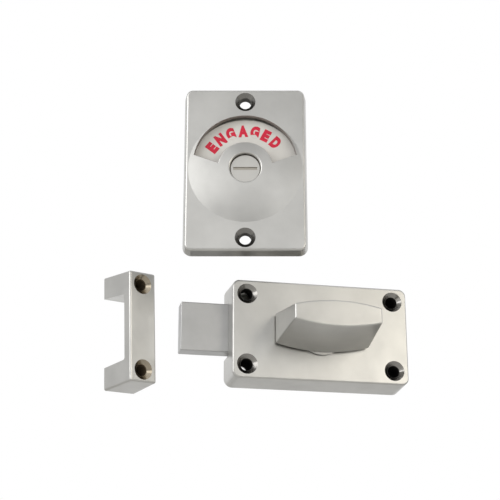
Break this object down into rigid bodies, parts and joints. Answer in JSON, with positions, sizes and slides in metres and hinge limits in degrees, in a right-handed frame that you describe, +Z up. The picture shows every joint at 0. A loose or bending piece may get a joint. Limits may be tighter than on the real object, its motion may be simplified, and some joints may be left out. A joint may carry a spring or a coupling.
{
  "type": "lock and indicator set",
  "caption": "Cubicle door lock set: a thumb-turn lock with a sliding bolt, a keeper, and a plate whose window shows the lock's state.",
  "frame": {"origin": "centre of the indicator plate on its mounting face, midway between its two screws", "axes": "+X to the right, +Y from the indicator into the door it is fixed on, +Z up"},
  "size_m": [0.1237, 0.0669, 0.1191],
  "materials": {
    "satin_chrome": "satin",
    "printed_disc": "matt print",
    "plated_steel": "zinc plated",
    "spring_steel": "dark tempered",
    "soft_brass": "plain",
    "nylon": "moulded"
  },
  "bodies": {
    "mounted": {"indicator_plate": "satin_chrome", "indicator_cover": "plated_steel", "cover_screws": "plated_steel", "lock_case": "satin_chrome", "turn_bush": "soft_brass", "lock_back_plate": "plated_steel", "back_screws": "plated_steel", "bolt_spring": "spring_steel", "keeper": "satin_chrome"},
    "turn": {"thumb_turn": "satin_chrome", "turn_washer": "plated_steel", "turn_circlip": "spring_steel", "spindle": "plated_steel", "spindle_pin": "plated_steel", "pinion": "soft_brass"},
    "bolt": {"bolt": "satin_chrome"},
    "hub": {"release_hub": "satin_chrome", "indicator_disc": "printed_disc", "hub_washer": "nylon", "disc_rivets": "soft_brass"}
  },
  "joints": [
    {"name": "turn_hinge", "type": "hinge", "parent": "mounted", "child": "turn", "pos_m": [0.0273, 0.032, -0.0618], "axis": [-0.1994, 0.9799, 0], "range_deg": [0, 180]},
    {"name": "bolt_slide", "type": "slide", "parent": "mounted", "child": "bolt", "axis": [0.9799, 0.1994, 0], "range_m": [0, 0.01885]},
    {"name": "hub_hinge", "type": "hinge", "parent": "mounted", "child": "hub", "pos_m": [0, 0, 0], "axis": [0, -1, 0], "range_deg": [0, 180]}
  ],
  "couplings": [
    {"joint": "bolt_slide", "follows": "turn_hinge", "m_per_rad": 0.006},
    {"joint": "hub_hinge", "follows": "turn_hinge", "ratio": 1}
  ]
}
